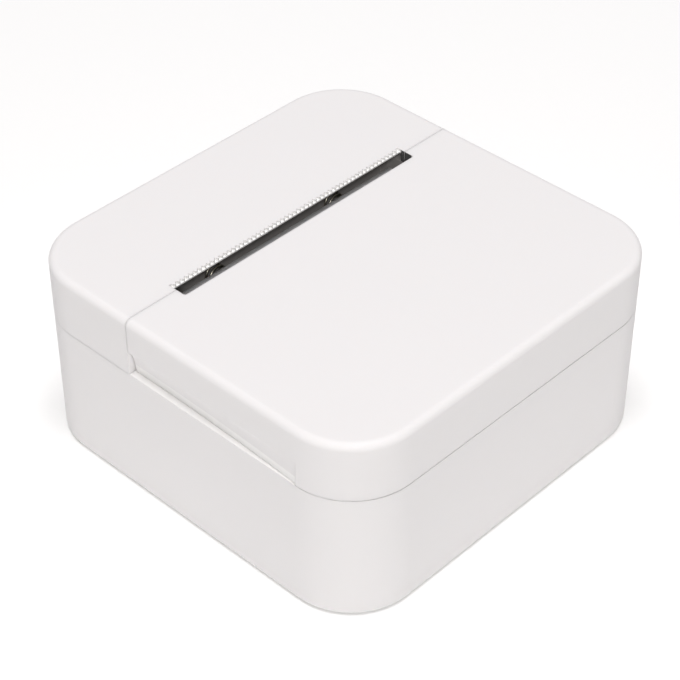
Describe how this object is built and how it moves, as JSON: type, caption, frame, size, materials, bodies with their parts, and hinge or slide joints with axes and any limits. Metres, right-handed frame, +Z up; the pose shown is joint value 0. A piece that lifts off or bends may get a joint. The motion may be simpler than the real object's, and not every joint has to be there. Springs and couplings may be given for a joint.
{
  "type": "portable thermal printer",
  "caption": "Palm-size rounded-square thermal printer: fixed front strip with tear teeth, hinged rear cover carrying the roller, roll bay and geared print mechanism inside.",
  "frame": {"origin": "centre of the footprint, on the surface the rubber feet stand on", "axes": "+Z up; -Y is the front with the tear teeth, button and light; +Y is the hinge side; the paper slot runs along X"},
  "size_m": [0.084, 0.084, 0.0395],
  "materials": {
    "case_white": "fine satin ABS",
    "inner_white": "satin ABS",
    "mechanism_black": "fine matt moulding",
    "roller_rubber": "ground rubber",
    "foot_rubber": "matt",
    "head_aluminium": "milled",
    "head_ceramic": "glazed ceramic",
    "steel": "bright",
    "spring_steel": "drawn wire",
    "gear_plastic": "acetal",
    "brass": "hobbed",
    "board_green": "solder mask",
    "component_black": "moulded",
    "flex_amber": "polyimide film",
    "light_clear": "moulded clear",
    "foam": "closed-cell foam",
    "battery_wrap": "laminated foil"
  },
  "bodies": {
    "base": {"base_case": "case_white", "front_top_case": "case_white", "paper_bay": "inner_white", "hinge_pin_left": "steel", "hinge_pin_right": "steel", "mechanism_chassis": "mechanism_black", "head_pivot_shaft": "steel", "head_spring_left": "spring_steel", "head_spring_right": "spring_steel", "head_flex_cable": "flex_amber", "stepper_motor": "steel", "idler_axle": "steel", "gear_cover": "mechanism_black", "gear_cover_screws": "steel", "main_board": "board_green", "board_components": "component_black", "usb_connector": "steel", "button_switch": "component_black", "status_light": "light_clear", "battery_pad": "foam", "battery": "battery_wrap", "battery_leads": "component_black", "motor_flex_cable": "flex_amber", "paper_sensor": "mechanism_black", "rubber_feet": "foot_rubber", "case_screws": "steel", "bay_screws": "steel", "chassis_screws": "steel", "board_screws": "steel"},
    "cover": {"cover_shell": "case_white", "platen_holder": "mechanism_black", "platen_bush_left": "mechanism_black", "platen_bush_right": "mechanism_black", "holder_screws": "steel"},
    "platen": {"platen_roller": "roller_rubber", "platen_shaft": "steel", "platen_clip": "steel", "platen_gear": "gear_plastic"},
    "head": {"head_plate": "head_aluminium", "head_substrate": "head_ceramic", "head_driver_cover": "mechanism_black"},
    "idler": {"idler_gear": "gear_plastic"},
    "rotor": {"motor_shaft": "steel", "motor_pinion": "brass"},
    "button": {"power_button": "case_white"}
  },
  "joints": [
    {"name": "cover_hinge", "type": "hinge", "parent": "base", "child": "cover", "pos_m": [0, 0.0371, 0.0323], "axis": [-1, 0, 0], "range_deg": [0, 90]},
    {"name": "platen_spin", "type": "hinge", "parent": "cover", "child": "platen", "pos_m": [0, -0.008, 0.0305], "axis": [1, 0, 0], "continuous": true},
    {"name": "idler_spin", "type": "hinge", "parent": "base", "child": "idler", "pos_m": [0, -0.00931, 0.02308], "axis": [1, 0, 0], "continuous": true},
    {"name": "motor_spin", "type": "hinge", "parent": "base", "child": "rotor", "pos_m": [0, -0.02054, 0.01699], "axis": [1, 0, 0], "continuous": true},
    {"name": "head_pivot", "type": "hinge", "parent": "base", "child": "head", "pos_m": [0, -0.015, 0.0246], "axis": [1, 0, 0], "range_deg": [0, 2], "stiffness_Nm_per_rad": 1, "springref_deg": -2.86, "deforming": ["head_spring_left", "head_spring_right"]},
    {"name": "button_press", "type": "slide", "parent": "base", "child": "button", "axis": [0, 1, 0], "range_m": [0, 0.0006], "stiffness_N_per_m": 400, "springref_m": -0.0002}
  ],
  "couplings": [
    {"joint": "idler_spin", "follows": "platen_spin", "ratio": -1.5},
    {"joint": "motor_spin", "follows": "platen_spin", "ratio": 5.4545}
  ]
}
